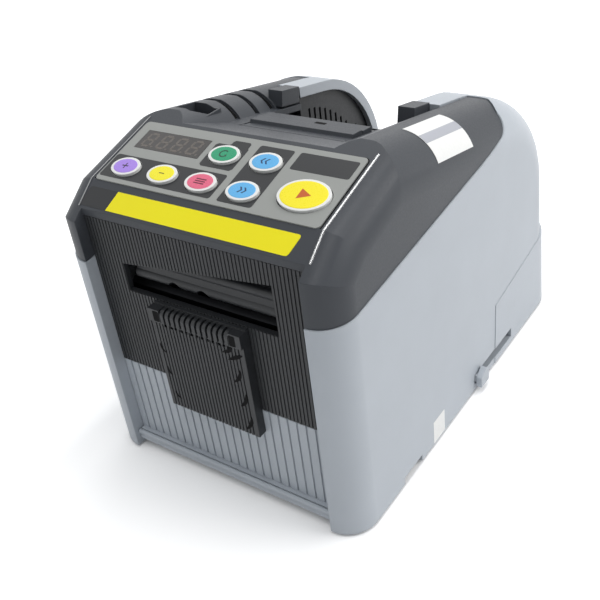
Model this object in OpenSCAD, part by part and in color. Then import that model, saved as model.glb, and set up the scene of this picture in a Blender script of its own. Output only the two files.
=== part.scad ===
// Electric tape dispenser: a desk machine that feeds tape from a well and cuts it at a front outlet.
// X runs across the machine, Y from the front to the back, Z up from the table. Millimetres.

/* [Body] */
// Overall width across the side shells
body_w = 140; // [134:1:156]
// Overall length from the pillars to the rear band
body_l = 213; // [205:1:235]
// Height of the crest above the table
body_h = 150; // [148:1:160]
// Wall of the moulded shells
wall = 3; // [2.4:0.1:3.4]
// Radius of the front upright corners
corner_r = 14; // [10:1:18]
// Radius of the edges along the control slope
slope_edge_r = 13; // [9:1:14]
// Radius of the rounded ridges
ridge_r = 20; // [18:1:21]
// Radius of the rear bend of the humps, seen from the side
bend_r = 60; // [50:1:62]
// Gap seen between neighbouring mouldings
seam = 0.3; // [0.2:0.05:0.5]
// Height of the shells' lower edge above the table
shell_lift = 1.5; // [1:0.1:3]

/* [Slopes] */
// Distance of the crest from the front
crest_d = 62; // [60:1:66]
// Rise of the control slope, in degrees
slope_a = 16.2; // [14:0.1:18]
// Rise of the front chamfer, in degrees
chamfer_a = 38.2; // [34:0.2:42]
// Fall of the ridges towards the back, in degrees
ridge_a = 11; // [9:0.5:12]
// Forward lean of the rear wall, in degrees
rear_a = 6.5; // [5:0.5:8]
// Distance of the lower edge of the control slope from the front
slope_d = 16; // [14:1:18]
// How far the lower rear band stands proud of the rear wall
band_step = 2; // [1:0.5:3]
// Height of the lower rear band
band_h = 48; // [40:1:54]

/* [Front] */
// Depth of the front panels behind the pillars
panel_in = 5.6; // [4:0.2:7]
// Thickness of the front panels
panel_t = 3; // [2.4:0.2:3.4]
// Half the width between the pillars
pillar_x = 55.5; // [54:0.5:58]
// Height of the joint between the upper and lower front panel
panel_z = 51; // [46:1:60]
// Pitch of the fine ribs
rib_pitch = 1.8; // [1.6:0.1:2.4]
// Pitch of the coarse grooves
groove_pitch = 4.6; // [4:0.2:6]
// Height of the top of the front lip
lip_z = 10; // [9:0.5:12]
// Lower edge of the outlet slot
outlet_z = 92.6; // [90:0.2:96]
// Half the width of the outlet slot
outlet_x = 39; // [36:0.5:42]
// Height of the outlet slot at its low end
outlet_h1 = 13.3; // [12:0.1:16]
// Height of the outlet slot at its high end
outlet_h2 = 23; // [18:0.5:24]

/* [Exit guide] */
// Half the width of the hanging exit guide
guide_x = 24; // [22:0.5:28]
// Lower edge of the exit guide
guide_z = 39.5; // [36:0.5:46]
// Number of comb fins on the exit guide
fin_n = 13; // [9:2:15]
// Pitch of the comb fins
fin_pitch = 2.8; // [2.6:0.1:3]

/* [Parting] */
// Height of the joint between the cover and the side shells at the front
part_z = 105.4; // [102:0.2:108]
// Radius of the rounded rear end of the cover
part_r = 11.5; // [10:0.5:13]
// Distance of the centre of that rounded end from the front
part_d = 138; // [134:1:139]
// Rise of the joint towards the back, in degrees
part_a = 6.6; // [6:0.1:7]

/* [Tape well] */
// Half the width of the tape well
well_x = 31; // [30:0.5:32]
// Front face of the tape well
well_d = 105; // [104.5:0.5:108]
// Radius of the trough under the roll
trough_r = 46; // [43:0.5:47]
// Height of the trough's axis
trough_z = 88; // [84:1:94]
// Width of the light rim round the well panels
rim_w = 5; // [4:0.5:6]
// Thickness of the well panels and the trough
well_t = 2.5; // [2:0.1:3]
// Number of louvres in each well panel
louvre_n = 10; // [6:1:12]
// Height of the low wall behind the well
rear_z = 72; // [60:1:80]
// Radius of the idle rollers under the roll
idle_r = 5; // [4:0.5:5.5]

/* [Controls] */
// Width of the control overlay
overlay_w = 110.5; // [108:0.5:112]
// Length of the control overlay along the slope
overlay_l = 37.5; // [36:0.5:39]
// Thickness of the control overlay
overlay_t = 0.5; // [0.3:0.1:0.6]
// Half width of a small oval key
key_a = 7.2; // [6:0.1:7.6]
// Half height of a small oval key
key_b = 5.2; // [4.4:0.1:5.6]
// Half width of the start key
start_a = 11; // [9:0.1:12]
// Half height of the start key
start_b = 8.1; // [7:0.1:9]
// How far the keys stand above the overlay
key_up = 0.9; // [0.7:0.05:1.2]
// Gap round each key
key_gap = 0.35; // [0.3:0.05:0.5]

/* [Mechanism] */
// Radius of the feed roller
feed_r = 9; // [8:0.5:9.5]
// Radius of the pinch roller
pinch_r = 6; // [5:0.5:6.5]
// Radius of the feed shaft
shaft_r = 4; // [3:0.5:4.5]
// Running gap between a shaft and its bore
run_gap = 0.05; // [0.03:0.01:0.08]
// Module of the feed gears
gear_m = 1.25; // [1.1:0.05:1.3]
// Teeth of the feed gear
gear_n = 36; // [30:6:36]
// Teeth of the motor pinion
pinion_n = 12; // [10:2:12]
// Radius of the feed motor
motor_r = 18; // [15:0.5:18]
// Thickness of the steel frame plates
frame_t = 2; // [1.5:0.1:2.5]
// Inner face of the frame plates from the middle
frame_x = 44; // [43:0.5:46]
// Stroke of the cutting blade
blade_stroke = 14; // [10:0.5:14]

/* [Base] */
// Height of the rubber feet
foot_h = 5; // [4:0.5:6]
// Radius of the rubber feet
foot_r = 8; // [6:0.5:9]
// Thickness of the base plate
base_t = 3; // [2.5:0.1:4]
// Travel slot of the side latch, front end from the front
latch_d = 109; // [106:1:112]
// Length of the side latch's travel slot
latch_l = 44; // [40:1:50]
// Length of the side latch
latch_len = 9; // [7:0.5:12]

/* [Hidden] */
$fn = 48;

light = [0.73, 0.75, 0.77];
dark = [0.36, 0.37, 0.39];
darker = [0.2, 0.21, 0.22];
steel = [0.7, 0.71, 0.72];

// Far beyond the body, for cuts that go right through
far = 2 * body_l;
// The machine's front face
front_y = -body_l / 2;
// The cover lies this much inside the light shells
cover_in = overlay_t;
crest_z = body_h + cover_in;
slope_z = crest_z - (crest_d - slope_d) * tan(slope_a);
chamfer_z = slope_z - (slope_d - panel_in) * tan(chamfer_a);
band_side = 0.3;
rear_d = body_l - band_step - band_side + shell_lift * tan(rear_a);
// Corner where the ridge line meets the rear wall line
bend_top_d = (rear_d - tan(rear_a) * (crest_z + crest_d * tan(ridge_a))) / (1 - tan(rear_a) * tan(ridge_a));
bend_turn = 90 - rear_a - ridge_a;
bend_t = bend_r * tan(bend_turn / 2);
bend_from_d = bend_top_d - bend_t * cos(ridge_a);
bend_from_z = crest_z - (bend_from_d - crest_d) * tan(ridge_a);
bend_d = bend_from_d - bend_r * sin(ridge_a);
bend_z = bend_from_z - bend_r * cos(ridge_a);
ridge_len = (bend_from_d - crest_d) / cos(ridge_a);
bend_n = 12;
arc_n = 12;
oval_n = 40;
// Thickness of the slices that shape the bend
slice = 0.01;

panel_back = panel_in + panel_t;
panel_top = chamfer_z - wall - 0.9;
plateau_in = 8;
valley_d = 54;
valley_a = 20;
ridge_x = body_w / 2 - ridge_r;

function part_at(d) = part_z + d * tan(part_a);
function ridge_at(d) = crest_z - (d - crest_d) * tan(ridge_a);

base_z = foot_h;
base_top = base_z + base_t;

// Trough and well
trough_d = well_d + trough_r + well_t;
panel_x = well_x + wall;
idle_off = 20;
idle_drop = sqrt(pow(trough_r - idle_r - 0.9, 2) - idle_off * idle_off);
idle_pin_r = 2;

// Lid over the feed rollers
lid_x = 26.8;
lid_d1 = 77;
lid_d2 = 103;
lid_t = 2.6;
lid_gap = 0.5;
lid_rear_gap = 1.4;
lid_pin_r = 1.2;
knuckle_r = 2.4;
lid_pin_d = lid_d1 + knuckle_r;
lid_pin_z = ridge_at(lid_pin_d) - plateau_in / cos(ridge_a) - knuckle_r;
lid_pin_x = lid_x + 4.3;

// Feed drive
feed_d = 86;
feed_z = 104;
pinch_z = feed_z + feed_r + pinch_r + 0.35;
pinch_shaft_r = 2.5;
roller_x = 31;
gear_gap = 0.25;
gear_c = gear_m * (gear_n + pinion_n) / 2 + gear_gap;
motor_turn = 203.5;
motor_d = feed_d + gear_c * cos(motor_turn + 45);
motor_z = feed_z + gear_c * sin(motor_turn + 45);
motor_l = 52;
gear_x = frame_x + frame_t + 2.6;
gear_w = 6;
bush_r = shaft_r + 2;
pinion_shaft_r = 3;

// Cutter
blade_d = 15;
blade_t = 2;
blade_gap = 0.5;
carriage_d = blade_d + blade_t;
carriage_t = 6;
carriage_z = 110;
carriage_h = 14;
arm_x = frame_x - 1.6;
arm_w = 3;
yoke_z = 52;
yoke_h = 8;
plunger_r = 4;
plunger_d = carriage_d + carriage_t / 2;
press_d = 12.6;
press_z = outlet_z + 13.6;
press_pin_r = 1.5;

// Keys: name, place across, place up the slope, half sizes, colour
key_row = 9;
key_row2 = 25.6;
keys = [
  ["key_plus", -44.4, key_row, key_a, key_b, [0.70, 0.57, 0.93]],
  ["key_minus", -24.4, key_row, key_a, key_b, [0.98, 0.98, 0.24]],
  ["key_select", -4.4, key_row, key_a, key_b, [0.91, 0.45, 0.56]],
  ["key_auto", -4.4, key_row2, key_a, key_b, [0.16, 0.65, 0.47]],
  ["key_reverse", 16, key_row2, key_a, key_b, [0.42, 0.74, 0.94]],
  ["key_forward", 16, key_row, key_a, key_b, [0.42, 0.74, 0.94]],
  ["key_start", 41.4, 13, start_a, start_b, [0.98, 0.98, 0.24]]];
key_depth = 4;
window_x = -33;
window_w = 35;
window_y = 26.8;
window_h = 11.4;
board_drop = 11;
board_t = 1.6;
board_posts = [[-47.5, 17.5], [48, 30.5]];

// Base fasteners and feet
foot_x = body_w / 2 - 12;
foot_d1 = 46;
foot_d2 = body_l - 40;
screw_r = 1.5;
screw_head_r = 3;
screw_gap = 0.2;
frame_foot = 9;
frame_d1 = 9.6;
frame_d2 = 100;
frame_top = 128;
frame_screw_d = [30, 88];

// A flat outline in (distance from front, height), pulled from x1 to x2
module along_x(x1, x2)
  translate([x1, front_y, 0])
    rotate([90, 0, 90])
      linear_extrude(x2 - x1)
        children();

// A flat outline in (across, height above the line), pulled along a line tilted by a
module along_line(d, z, a, from, to)
  translate([0, front_y + d, z])
    rotate([a, 0, 0])
      translate([0, to, 0])
        rotate([90, 0, 0])
          linear_extrude(to - from)
            children();

// A flat outline seen from above, in (across, distance from front), pulled from z1 to z2
module upward(z1, z2)
  translate([0, front_y, z1])
    linear_extrude(z2 - z1)
      children();

// A block from corner to corner, with distances from the front
module block(x1, x2, d1, d2, z1, z2)
  translate([x1, front_y + d1, z1])
    cube([x2 - x1, d2 - d1, z2 - z1]);

// A round bar along X
module bar(d, z, r, x1, x2)
  translate([x1, front_y + d, z])
    rotate([0, 90, 0])
      cylinder(r = r, h = x2 - x1);

// An upright round post
module post(x, d, r, z1, z2)
  translate([x, front_y + d, z1])
    cylinder(r = r, h = z2 - z1);

// Children on the control slope: X across, Y up the slope, Z out of it
module on_slope(lift = 0)
  translate([0, front_y + slope_d, slope_z])
    rotate([slope_a, 0, 0])
      translate([0, 0, lift])
        children();

module both_sides() {
  children();
  mirror([1, 0, 0]) children();
}

// Flat section with rounded top corners, its top on the line
module crowned(w, depth, r)
  polygon(concat([[-w / 2, -depth], [w / 2, -depth]],
    [for (k = [0 : arc_n]) [w / 2 - r + r * cos(90 * k / arc_n), -r + r * sin(90 * k / arc_n)]],
    [for (k = [0 : arc_n]) [r - w / 2 - r * sin(90 * k / arc_n), -r + r * cos(90 * k / arc_n)]]));

// Oval of half sizes a and b
module oval(a, b)
  polygon([for (k = [0 : oval_n - 1]) let (t = 360 * k / oval_n) [a * cos(t), b * sin(t)]]);

// Rectangle from (x1, y1) to (x2, y2) with corners of radius r
module rounded(x1, y1, x2, y2, r)
  polygon([for (c = [[x2, y2, 0], [x1, y2, 90], [x1, y1, 180], [x2, y1, 270]], k = [0 : 5])
    let (t = c[2] + 18 * k, mx = c[0] > x1 ? x2 - r : x1 + r, my = c[1] > y1 ? y2 - r : y1 + r)
      [mx + r * cos(t), my + r * sin(t)]]);

// The whole outer form, set in by i on every side
module body_form(i = 0, step = 0) {
  w = body_w - 2 * i;
  intersection() {
    along_line(panel_in, chamfer_z, chamfer_a, -far, far) translate([0, -i]) crowned(w, far, slope_edge_r - i);
    along_line(slope_d, slope_z, slope_a, -far, far) translate([0, -i]) crowned(w, far, slope_edge_r - i);
    translate([0, step, 0]) rounded_back(i);
    upward(i > 0 ? -base_z : shell_lift, far) plan_form(i);
  }
}

// A crowned section across the back's outline, where the outline is tilted by a
module back_section(i, a, from, to, depth)
  along_line(bend_d - bend_r * sin(a), bend_z + bend_r * cos(a), a, from, to)
    translate([0, -i])
      crowned(body_w - 2 * i, depth, ridge_r - i);

// The ridges, the bend and the rear wall as one rounded form, set in by i
module rounded_back(i)
  hull() {
    back_section(i, -ridge_a, -ridge_len - far, 0, far);
    for (k = [1 : bend_n - 1]) back_section(i, -ridge_a - bend_turn * k / bend_n, -slice, slice, bend_r);
    back_section(i, rear_a - 90, 0, 2 * bend_z, bend_d);
  }

// Seen from above, with rounded front corners
module plan_form(i) {
  r = corner_r - i;
  x = body_w / 2 - i;
  translate([-x, corner_r]) square([2 * x, far]);
  translate([-(x - r), i]) square([2 * (x - r), far]);
  for (s = [-1, 1]) translate([s * (x - r), corner_r]) circle(r);
}

// What is inside the walls, with the pillars' returns left standing
module body_hollow() {
  intersection() {
    body_form(wall);
    union() {
      block(-far, far, panel_back + 0.4, far, -far, far);
      both_sides() block(pillar_x + wall, far, 0, far, -far, far);
    }
  }
}

// Side view of what belongs to the dark cover, grown by g
module cover_side(g) {
  polygon([[-20, part_at(-20) - g], [part_d, part_at(part_d) - g], [part_d, far], [-20, far]]);
  translate([part_d, part_at(part_d) + part_r]) circle(part_r + g);
  translate([part_d - 1, part_at(part_d) + part_r]) square([part_r + 1 + g, far]);
}

inner_cover_d = 130;
inner_cover_x = 44;
tip_x = 62;
tip_d = 149;
tip_end_x = 54;
tip_end_d = 157.5;

// The cover's tip along the top of a ridge, seen from above, grown by g
module cover_tip(g) {
  x = inner_cover_x + 0.2 - g;
  upward(part_z, far)
    polygon([[x, part_d], [tip_x + g, part_d], [tip_x + g, tip_d], [tip_end_x + g, tip_end_d + g], [x, tip_end_d + g]]);
}

// All that belongs to the dark cover, grown by g
module cover_zone(g) {
  both_sides() along_x(inner_cover_x - g, far) cover_side(g);
  both_sides() cover_tip(g);
  along_x(-inner_cover_x, inner_cover_x)
    intersection() {
      cover_side(g);
      translate([-30, 0]) square([inner_cover_d + 30 + g, far]);
    }
}

// Valley between the ridges, set in by i
module valley(i) {
  intersection() {
    along_line(crest_d, crest_z, -ridge_a, -40, ridge_len + 20)
      difference() {
        translate([-ridge_x, -plateau_in - i]) square([2 * ridge_x, 60]);
        for (s = [-1, 1]) translate([s * ridge_x, -ridge_r]) circle(ridge_r - i);
      }
    along_line(valley_d, ridge_valley_z - i, -valley_a, 0, far)
      translate([-far, 0]) square([2 * far, far]);
  }
}
ridge_valley_z = crest_z - (crest_d - valley_d) * tan(slope_a);

module side_shell(s) {
  mirror([s < 0 ? 1 : 0, 0, 0]) {
    difference() {
      union() {
        intersection() {
          body_form(0);
          union() {
            block(pillar_x, far, -1, far, 0, far);
            block(well_x, far, inner_cover_d, far, 0, far);
          }
        }
        intersection() {
          body_form(-band_side, band_step);
          along_x(well_x, far) polygon([[133, 0], [133, band_h - 11], [rear_d - 9, band_h], [far, band_h], [far, 0]]);
        }
      }
      cover_zone(seam);
      intersection() {
        body_hollow();
        block(panel_x, far, -1, far, -far, far);
      }
      intersection() {
        block(well_x - 1, panel_x + 0.1, well_d - 1, far, -far, far);
        body_form(rim_w);
      }
      block(body_w / 2 - wall - 3, far, foot_d1 - foot_r, foot_d1 + foot_r, -1, base_z);
    }
  }
}

module left_shell() { color(light) side_shell(-1); }

module right_shell() {
  color(light)
    difference() {
      side_shell(1);
      block(body_w / 2 - wall - 1, far, latch_d, latch_d + latch_l, base_z + 0.2, base_z + 5.6);
    }
}

module top_cover() {
  color(dark)
    difference() {
      union() {
        difference() {
          intersection() {
            body_form(cover_in);
            cover_zone(0);
          }
          difference() {
            body_hollow();
            valley(wall);
          }
          valley(0);
          block(-well_x, well_x, well_d, far, 0, far);
        }
        both_sides() ridge_block();
        both_sides() lid_ear();
        pocket_pad();
      }
      block(-pillar_x, pillar_x, -1, panel_in, 0, chamfer_z + 2);
      block(-pillar_x, pillar_x, -1, panel_back + 0.5, 0, panel_top + 0.2);
      block(-lid_x - lid_gap, lid_x + lid_gap, lid_d1 - lid_gap, lid_d2 + lid_rear_gap, 100, far);
      bar(lid_pin_d, lid_pin_z, lid_pin_r + run_gap, -lid_pin_x - 0.2, lid_pin_x + 0.2);
      ridge_grooves(40);
      mirror([1, 0, 0]) ridge_grooves(65);
      finger_pocket();
      on_slope(-wall - 3) {
        for (k = keys) translate([k[1], k[2], 0]) linear_extrude(wall + 6) oval(k[3] + key_gap, k[4] + key_gap);
        translate([window_x - window_w / 2, window_y - window_h / 2, 0]) cube([window_w, window_h, wall + 6]);
      }
    }
}

ridge_block_l = 14;
ridge_block_h = 7.6;
ridge_block_in = 11;

// Small square blocks on the inner flank of each ridge
module ridge_block()
  along_line(inner_cover_d, ridge_at(inner_cover_d), -ridge_a, -ridge_block_l, 0)
    translate([well_x, 1 - plateau_in]) square([ridge_x - ridge_block_in - well_x, ridge_block_h]);

// Ears under the plateau that hold the lid's pin
module lid_ear()
  block(lid_x - 1, lid_pin_x + 1.7, lid_pin_d - 3, lid_pin_d + 3, lid_pin_z - 3, lid_pin_z + 1.2);

groove_deep = 1.4;
grooves = [[87.5, 3.4], [101.8, 3], [113.5, 4]];

// Grooves across a ridge, from the well's side out to x
module ridge_grooves(x)
  for (g = grooves)
    along_line(g[0], ridge_at(g[0]), -ridge_a, -g[1] / 2, g[1] / 2)
      difference() {
        translate([well_x - 2, -plateau_in - 0.01]) square([x - well_x + 2, 20]);
        translate([ridge_x, -ridge_r]) circle(ridge_r - groove_deep);
      }

// Thickening behind the finger pocket
module pocket_pad()
  block(-53, -38, 65, 80, ridge_at(80) - 10, ridge_at(80) - 2);

// Dark pocket at the front end of the left ridge
module finger_pocket()
  along_x(-52, -39) polygon([[66, ridge_at(66) + 3], [66, ridge_at(66) - 1.2], [79, ridge_at(79) - 6], [79, ridge_at(79) + 3]]);

// Flat comb outline: a strip from d1 to d2 with n ribs of the given pitch on its front
function ribbed(x1, x2, d1, d2, pitch, deep, slot) =
  let (n = floor((x2 - x1) / pitch), x0 = (x1 + x2) / 2 - n * pitch / 2)
  concat([[x1, d2], [x1, d1]],
    [for (i = [0 : n - 1]) for (p = [[0, 0], [pitch - slot, 0], [pitch - slot, deep], [pitch, deep]])
      if (i < n - 1 || p[1] == 0) [x0 + i * pitch + p[0], d1 + p[1]]],
    [[x2, d1], [x2, d2]]);

module outlet_outline()
  polygon([[-outlet_x, outlet_z], [outlet_x, outlet_z], [outlet_x, outlet_z + outlet_h2], [-outlet_x, outlet_z + outlet_h1]]);

module front_panel() {
  x = pillar_x - seam;
  color(darker)
    difference() {
      upward(panel_z + seam, panel_top) polygon(ribbed(-x, x, panel_in, panel_back, rib_pitch, 0.5, 0.6));
      translate([0, front_y, 0]) rotate([90, 0, 0]) linear_extrude(4 * panel_back, center = true) outlet_outline();
    }
}

module lower_panel() {
  x = pillar_x - seam;
  color(light)
    upward(lip_z, panel_z) polygon(ribbed(-x, x, panel_in + 0.2, panel_back, groove_pitch, 0.7, 0.9));
}

module front_lip() {
  x = pillar_x - seam;
  color(light)
    along_x(-x, x) {
      polygon([[panel_in - 3.4, base_z], [panel_back, base_z], [panel_back, lip_z], [panel_in - 2, lip_z]]);
      translate([panel_in - 2.6, lip_z - 1.2]) circle(1.2);
    }
}

module exit_guide() {
  back = panel_in;
  top = outlet_z - 7;
  color(darker) {
    difference() {
      upward(guide_z, top) polygon(ribbed(-guide_x, guide_x, 1.2, back, rib_pitch, 0.5, 0.7));
      for (i = [0 : fin_n - 1])
        block((i - (fin_n - 1) / 2) * fin_pitch - 0.7, (i - (fin_n - 1) / 2) * fin_pitch + 0.7, 0, 3, top - 2.6, top - 1.2);
    }
    for (i = [0 : fin_n - 1])
      translate([(i - (fin_n - 1) / 2) * fin_pitch - 0.85, 0, 0])
        along_x(0, 1.7) {
          translate([2.4, top + 3.4]) circle(2.4);
          translate([2.4, top - 0.2]) square([back - 2.4, 6]);
          translate([0, top - 0.2]) square([back, 3.6]);
        }
    both_sides() block(guide_x - 6, guide_x, 0, back, top - 0.2, top + 6);
    block(-guide_x, guide_x, back - 1.5, back, top - 0.2, outlet_z - 0.4);
  }
}

// Half-round trough with upright walls, open above
module well_trough() {
  x = well_x - 0.2;
  r2 = trough_r + well_t;
  front_top = ridge_at(well_d) - plateau_in - wall - 3;
  color(dark)
    along_x(-x, x)
      difference() {
        union() {
          translate([trough_d, trough_z]) circle(r2);
          translate([trough_d - r2, trough_z]) square([well_t, front_top - trough_z]);
          translate([trough_d - 25, base_top]) square([6, trough_z - base_top - trough_r + 8]);
          translate([trough_d + 19, base_top]) square([6, trough_z - base_top - trough_r + 8]);
        }
        translate([trough_d, trough_z]) circle(trough_r);
        translate([trough_d - trough_r, trough_z]) square([far, far]);
        translate([trough_d, rear_z]) square([far, far]);
      }
}

// Side view of a hump, set in by i
module hump_side(i) {
  r = bend_r - i;
  n = 2 * bend_n;
  bend = [for (k = [0 : n]) let (a = 90 - ridge_a - bend_turn * k / n) [bend_d + r * cos(a), bend_z + r * sin(a)]];
  top = bend[0];
  rear = bend[n];
  polygon(concat([[0, 0], [0, top[1] + top[0] * tan(ridge_a)]], bend, [[rear[0] + rear[1] * tan(rear_a), 0]]));
}

// Dark inner wall of a hump, with louvres and the seats of the idle rollers
module well_panel() {
  slot_pitch = 4.6;
  first = 140;
  difference() {
    along_x(panel_x + seam, panel_x + seam + well_t)
      difference() {
        intersection() {
          hump_side(wall + seam);
          translate([well_d + 3, base_top]) square([far, far]);
        }
        intersection() {
          cover_side(seam + wall);
          square([inner_cover_d + seam + wall, far]);
        }
        for (s = [-1, 1])
          translate([trough_d + s * idle_off, trough_z - idle_drop]) circle(idle_pin_r + run_gap);
      }
    for (i = [0 : louvre_n - 1])
      block(panel_x, panel_x + seam + 1.5, first + i * slot_pitch, first + i * slot_pitch + 1.6,
        trough_z + 10, ridge_at(first + i * slot_pitch) - 13 - i * i * 0.26);
  }
}

module left_well_panel() { color(darker) mirror([1, 0, 0]) well_panel(); }

module right_well_panel() { color(darker) well_panel(); }

inlet_x = -14;
inlet_w = 27;
inlet_h = 20;
inlet_z = 26;
rocker_x = 16;
rocker_w = 13;
rocker_h = 19;
rear_t = 2.6;

function rear_at(z) = rear_d - z * tan(rear_a);

module rear_panel() {
  x = well_x - seam;
  proud = band_step + band_side;
  color(light)
    difference() {
      along_x(-x, x)
        polygon([[rear_at(base_z) - rear_t, base_z], [rear_at(base_z) + proud, base_z],
          [rear_at(band_h) + proud, band_h], [rear_at(band_h), band_h], [rear_at(rear_z), rear_z],
          [rear_at(rear_z) - rear_t, rear_z]]);
      block(inlet_x - inlet_w / 2, inlet_x + inlet_w / 2, trough_d, far, inlet_z - inlet_h / 2, inlet_z + inlet_h / 2);
      block(rocker_x - rocker_w / 2, rocker_x + rocker_w / 2, trough_d, far, inlet_z - rocker_h / 2, inlet_z + rocker_h / 2);
    }
}

rear_face = body_l - inlet_z * tan(rear_a);

// Mains socket: a moulded block with a recess and three flat pins
module power_inlet() {
  color(darker) {
    difference() {
      block(inlet_x - inlet_w / 2 + 0.2, inlet_x + inlet_w / 2 - 0.2, rear_face - 24, rear_face - 0.4,
        inlet_z - inlet_h / 2 + 0.2, inlet_z + inlet_h / 2 - 0.2);
      block(inlet_x - 11, inlet_x + 11, rear_face - 16, far, inlet_z - 7, inlet_z + 7);
    }
    for (p = [[-7, 0], [0, 2.5], [7, 0]])
      block(inlet_x + p[0] - 1, inlet_x + p[0] + 1, rear_face - 17, rear_face - 5, inlet_z + p[1] - 2, inlet_z + p[1] + 2);
  }
}

rocker_d = rear_face - 4;
rocker_pin_r = 1.2;
rocker_a = 8;

module switch_housing() {
  t = 1.4;
  x = rocker_w / 2 - 0.2;
  z = rocker_h / 2 - 0.2;
  color(darker)
    difference() {
      block(rocker_x - x, rocker_x + x, rear_face - 20, rear_face - 0.6, inlet_z - z, inlet_z + z);
      block(rocker_x - x + t, rocker_x + x - t, rear_face - 14, far, inlet_z - z + t, inlet_z + z - t);
      bar(rocker_d, inlet_z, rocker_pin_r + run_gap, rocker_x - x - 1, rocker_x + x + 1);
    }
}

module power_rocker() {
  x = rocker_w / 2 - 2.1;
  z = rocker_h / 2 - 2.7;
  color([0.1, 0.1, 0.1]) {
    along_x(rocker_x - x, rocker_x + x)
      translate([rocker_d, inlet_z])
        rotate(rocker_a)
          polygon([[-3, -3], [3.4, -z], [2.2, 0], [3.4, z], [-3, 3]]);
    bar(rocker_d, inlet_z, rocker_pin_r, rocker_x - x - 1.6, rocker_x + x + 1.6);
  }
}

module control_overlay() {
  color([0.55, 0.56, 0.54])
    on_slope(-cover_in)
      linear_extrude(overlay_t)
        difference() {
          rounded(-overlay_w / 2, 0, overlay_w / 2, overlay_l, 2);
          for (k = keys) translate([k[1], k[2]]) oval(k[3] + key_gap, k[4] + key_gap);
          translate([window_x - window_w / 2, window_y - window_h / 2]) square([window_w, window_h]);
        }
}

module display_window() {
  g = 0.15;
  color([0.12, 0.1, 0.1])
    on_slope(-wall - cover_in)
      translate([window_x - window_w / 2 + g, window_y - window_h / 2 + g, 0])
        cube([window_w - 2 * g, window_h - 2 * g, wall + overlay_t]);
}

module display_module() {
  color([0.1, 0.1, 0.1])
    on_slope(-board_drop)
      translate([window_x - window_w / 2 + 1, window_y - window_h / 2 - 1, 0])
        cube([window_w - 2, window_h + 2, board_drop - wall - cover_in]);
}

// Board under the keys, with one switch below each key
module control_board() {
  color([0.1, 0.4, 0.2])
    on_slope(-board_drop - board_t) {
      translate([-50, 2, 0]) cube([103, 33, board_t]);
      for (k = keys) translate([k[1] - 3, k[2] - 3, board_t - 0.1]) cube([6, 6, 4.1]);
      for (p = board_posts) translate([p[0], p[1], board_t - 0.1]) cylinder(r = 2.2, h = board_drop - wall);
      translate([-27, 4.5, board_t - 0.1]) cylinder(r = 2, h = 3);
    }
}

module main_board() {
  color([0.1, 0.4, 0.2]) {
    block(-38, 38, 42, 98, base_top + 5, base_top + 5 + board_t);
    for (x = [-34, 34], d = [46, 94]) post(x, d, 3, base_top, base_top + 5.1);
    block(-30, -10, 50, 70, base_top + 5, base_top + 14);
    post(8, 60, 6, base_top + 5, base_top + 24);
    post(22, 60, 5, base_top + 5, base_top + 20);
    block(-30, 30, 84, 92, base_top + 5, base_top + 13);
  }
}

module power_supply() {
  d1 = trough_d - 18;
  color([0.75, 0.75, 0.72])
    difference() {
      block(-27, 27, d1, d1 + 36, base_top, base_top + 20);
      block(-25, 25, d1 + 1.5, d1 + 34.5, base_top + 14, base_top + 21);
    }
}

module base_plate() {
  x = body_w / 2 - wall - 0.8;
  x1 = pillar_x - seam;
  back = body_l - wall - 3.4;
  // Notches under the rims of the humps
  rim_x = (well_x + panel_x) / 2;
  rim_half = (panel_x - well_x) / 2 + seam;
  rim_d = rear_at(base_top) - rim_w / cos(rear_a) - seam;
  color(dark)
    difference() {
      upward(base_z, base_top) {
        translate([-x1, panel_back + 0.4]) square([2 * x1, corner_r]);
        difference() {
          translate([-x, corner_r + 0.5]) square([2 * x, back - corner_r - 0.5]);
          for (s = [-1, 1]) translate([s * x, back]) circle(ridge_r);
          for (s = [-1, 1]) translate([s * rim_x - rim_half, rim_d]) square([2 * rim_half, far]);
        }
      }
      for (d = frame_screw_d) both_sides() {
        post(frame_x + frame_t + 4, d, screw_r + screw_gap, 0, far);
        post(frame_x + frame_t + 4, d, screw_head_r + 0.4, 0, base_z + 1.6);
      }
      block(-20, 20, 112, 150, 0, base_z + 1);
    }
}

module feet() {
  color([0.08, 0.08, 0.08])
    both_sides()
      for (d = [foot_d1, foot_d2]) {
        translate([foot_x, front_y + d, 0]) cylinder(r1 = foot_r - 1, r2 = foot_r, h = foot_h - 1.5);
        post(foot_x, d, foot_r, foot_h - 1.5, foot_h);
      }
}

module base_screws() {
  color(steel)
    for (d = frame_screw_d) both_sides() {
      post(frame_x + frame_t + 4, d, screw_head_r, base_z + 0.2, base_z + 1.6);
      post(frame_x + frame_t + 4, d, screw_r, base_z + 0.3, base_top + frame_t + 3);
    }
}

// Steel side plate with a bent foot and the bores for the shafts
module frame_plate() {
  color(steel)
    difference() {
      union() {
        along_x(frame_x, frame_x + frame_t)
          difference() {
            polygon([[frame_d1 + 10, base_top], [frame_d2, base_top], [frame_d2, frame_top], [66, frame_top],
              [58, frame_top - 7], [24, frame_top - 7], [frame_d1, frame_top - 14], [frame_d1, outlet_z - 20],
              [frame_d1 + 10, outlet_z - 34]]);
            translate([38, 28]) square([34, 22]);
            translate([35, 66]) circle(9);
          }
        block(frame_x, frame_x + frame_foot, frame_d1 + 10, frame_d2, base_top, base_top + frame_t);
      }
      bar(feed_d, feed_z, bush_r + run_gap, 0, far / 4);
      bar(feed_d, pinch_z, pinch_shaft_r + run_gap, 0, far / 4);
      bar(press_d, press_z, press_pin_r + run_gap, 0, far / 4);
      bar(motor_d, motor_z, pinion_shaft_r + 3.4, 0, far / 4);
      for (d = frame_screw_d) post(frame_x + frame_t + 4, d, screw_r + screw_gap, 0, far);
    }
}

module left_frame() { mirror([1, 0, 0]) frame_plate(); }

module right_frame() { frame_plate(); }

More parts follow.
